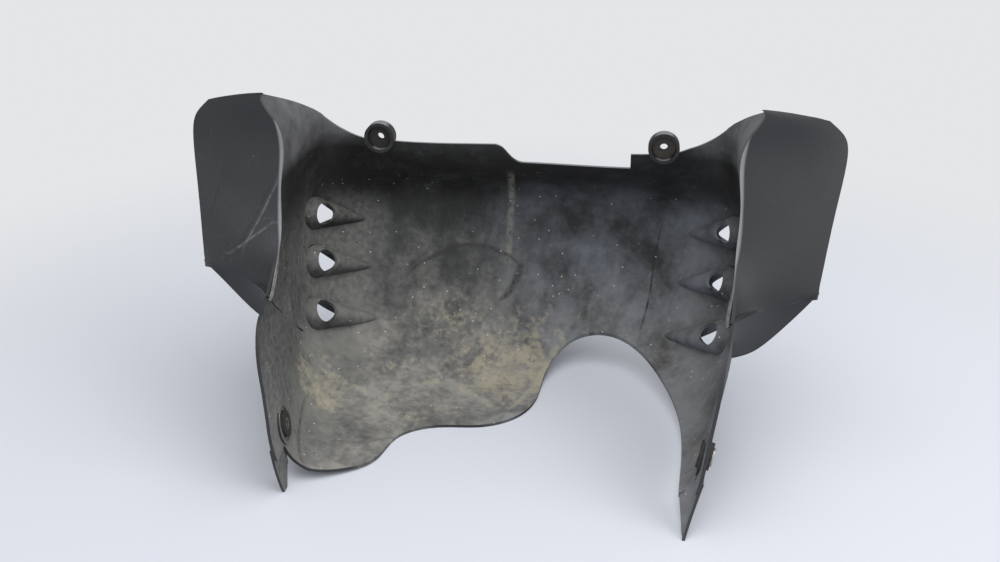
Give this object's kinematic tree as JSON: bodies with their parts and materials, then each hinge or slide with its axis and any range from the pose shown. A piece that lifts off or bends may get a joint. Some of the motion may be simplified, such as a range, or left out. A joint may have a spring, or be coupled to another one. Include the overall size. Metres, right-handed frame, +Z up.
{
  "type": "motorcycle belly pan",
  "caption": "Moulded black plastic belly pan with side wings, vent ducts, an exhaust cut-out in the floor and rubber-bushed bolt ears and legs.",
  "frame": {"origin": "on the ground under the middle of the pan's bounding box", "axes": "+X to the right as seen from the open rear, +Y forward to the chin, +Z up"},
  "size_m": [0.4998, 0.3056, 0.271],
  "materials": {
    "moulded_plastic": "satin black, dusty and scratched",
    "rubber": "matt black rubber",
    "steel": "plain zinc-plated"
  },
  "bodies": {
    "root": {"belly_pan": "moulded_plastic", "ear_grommet_left": "rubber", "ear_grommet_right": "rubber", "leg_grommet_left": "rubber", "leg_grommet_right": "rubber", "leg_collar_left": "steel", "leg_collar_right": "steel"}
  },
  "joints": []
}
